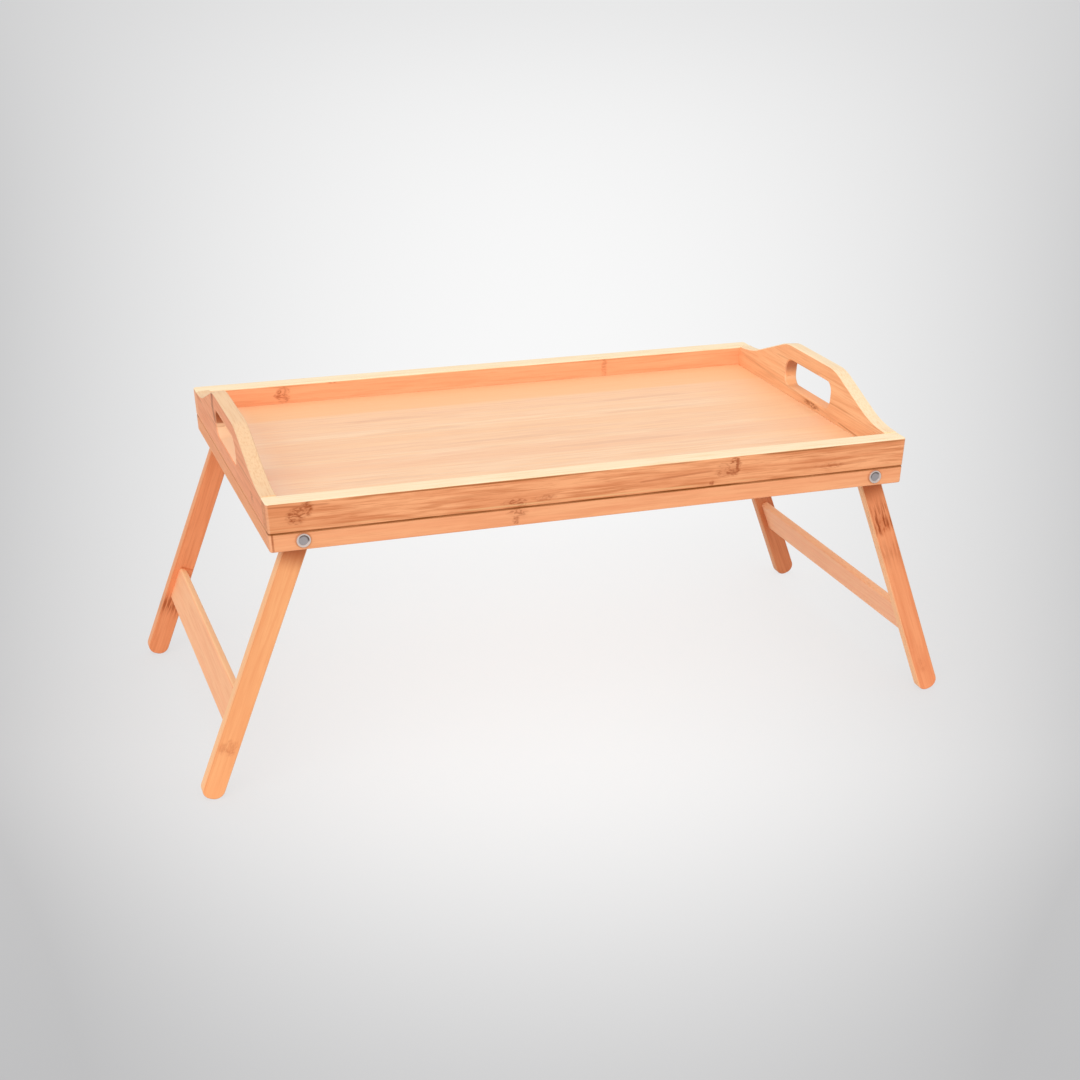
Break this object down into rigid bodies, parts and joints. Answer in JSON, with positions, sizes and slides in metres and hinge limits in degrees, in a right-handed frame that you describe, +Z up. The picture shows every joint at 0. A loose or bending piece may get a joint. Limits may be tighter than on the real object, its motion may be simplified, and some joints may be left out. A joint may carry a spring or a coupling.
{
  "type": "bed tray table",
  "caption": "Rectangular bamboo bed tray table with raised ogee end panels, oblong hand slots and two pairs of splayed legs that fold inward under the tray.",
  "frame": {"origin": "centre of the footprint, on the surface that the open legs stand on", "axes": "+X along the tray's length, +Y from front to back, +Z up"},
  "size_m": [0.6068, 0.303, 0.2539],
  "materials": {
    "rail_bamboo": "satin varnish",
    "panel_bamboo": "satin varnish",
    "board_bamboo": "satin varnish",
    "strip_bamboo": "satin varnish",
    "tenon_wood": "plain",
    "leg_bamboo": "satin varnish",
    "crossbar_bamboo": "satin varnish",
    "washer_nylon": "plain moulded",
    "pivot_steel": "zinc plated"
  },
  "bodies": {
    "tray": {"front_rail": "rail_bamboo", "back_rail": "rail_bamboo", "left_end_panel": "panel_bamboo", "right_end_panel": "panel_bamboo", "tray_board": "board_bamboo", "front_lower_rail": "strip_bamboo", "back_lower_rail": "strip_bamboo", "left_lower_rail": "strip_bamboo", "right_lower_rail": "strip_bamboo", "upper_loose_tenons": "tenon_wood", "lower_loose_tenons": "tenon_wood", "front_left_pivot_barrel": "pivot_steel", "back_left_pivot_barrel": "pivot_steel", "front_right_pivot_barrel": "pivot_steel", "back_right_pivot_barrel": "pivot_steel", "pivot_screws": "pivot_steel", "pivot_washers": "washer_nylon"},
    "left_legs": {"front_left_leg": "leg_bamboo", "back_left_leg": "leg_bamboo", "left_crossbar": "crossbar_bamboo"},
    "right_legs": {"front_right_leg": "leg_bamboo", "back_right_leg": "leg_bamboo", "right_crossbar": "crossbar_bamboo"}
  },
  "joints": [
    {"name": "left_legs_fold", "type": "hinge", "parent": "tray", "child": "left_legs", "pos_m": [-0.2243, 0, 0.19808], "axis": [0, -1, 0], "range_deg": [0, 110]},
    {"name": "right_legs_fold", "type": "hinge", "parent": "tray", "child": "right_legs", "pos_m": [0.2243, 0, 0.19808], "axis": [0, 1, 0], "range_deg": [0, 110]}
  ]
}
